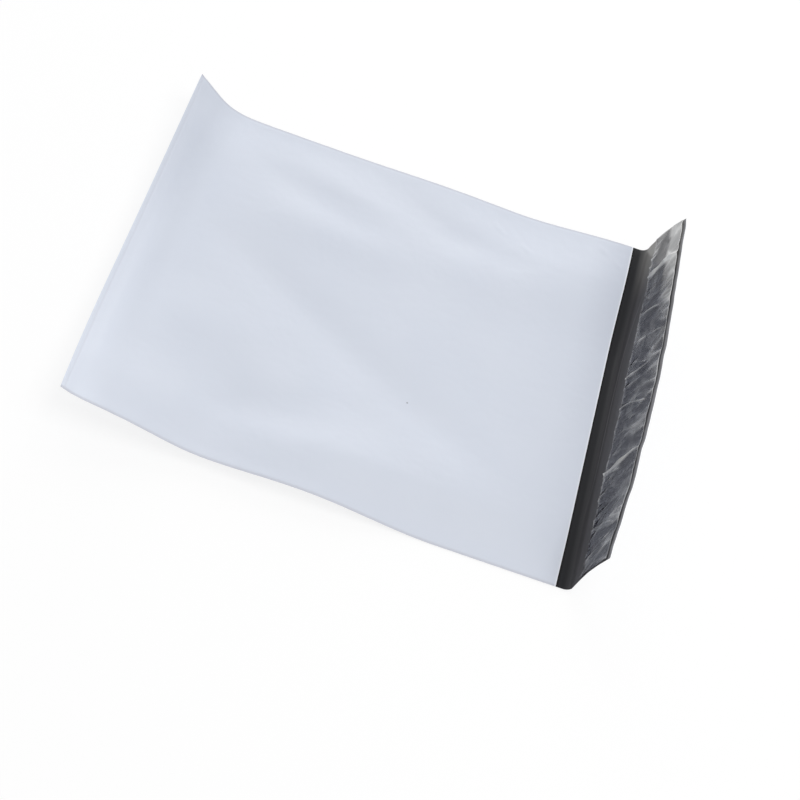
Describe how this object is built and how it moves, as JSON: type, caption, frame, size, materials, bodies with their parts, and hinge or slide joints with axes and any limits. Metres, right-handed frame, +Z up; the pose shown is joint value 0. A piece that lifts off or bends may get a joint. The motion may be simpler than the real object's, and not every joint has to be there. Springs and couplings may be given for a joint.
{
  "type": "poly mailer bag",
  "caption": "Empty poly mailer: white film folded and side-welded into a pouch, dark inside, with a raised closure flap that carries an adhesive strip under a clear liner.",
  "frame": {"origin": "middle of the back panel's resting face, half way from the fold to the mouth and half way across", "axes": "+X from the folded bottom to the flap, +Y from the near side to the far side, +Z up"},
  "size_m": [0.3229, 0.25, 0.0496],
  "materials": {
    "white_film": "satin co-extruded polyethylene film, cool white outside and dark grey inside",
    "adhesive": "tacky hot-melt adhesive coat",
    "clear_liner": "clear, glossy, creased release film"
  },
  "bodies": {
    "root": {"bag_film": "white_film", "adhesive_strip": "adhesive", "release_liner": "clear_liner"}
  },
  "joints": []
}
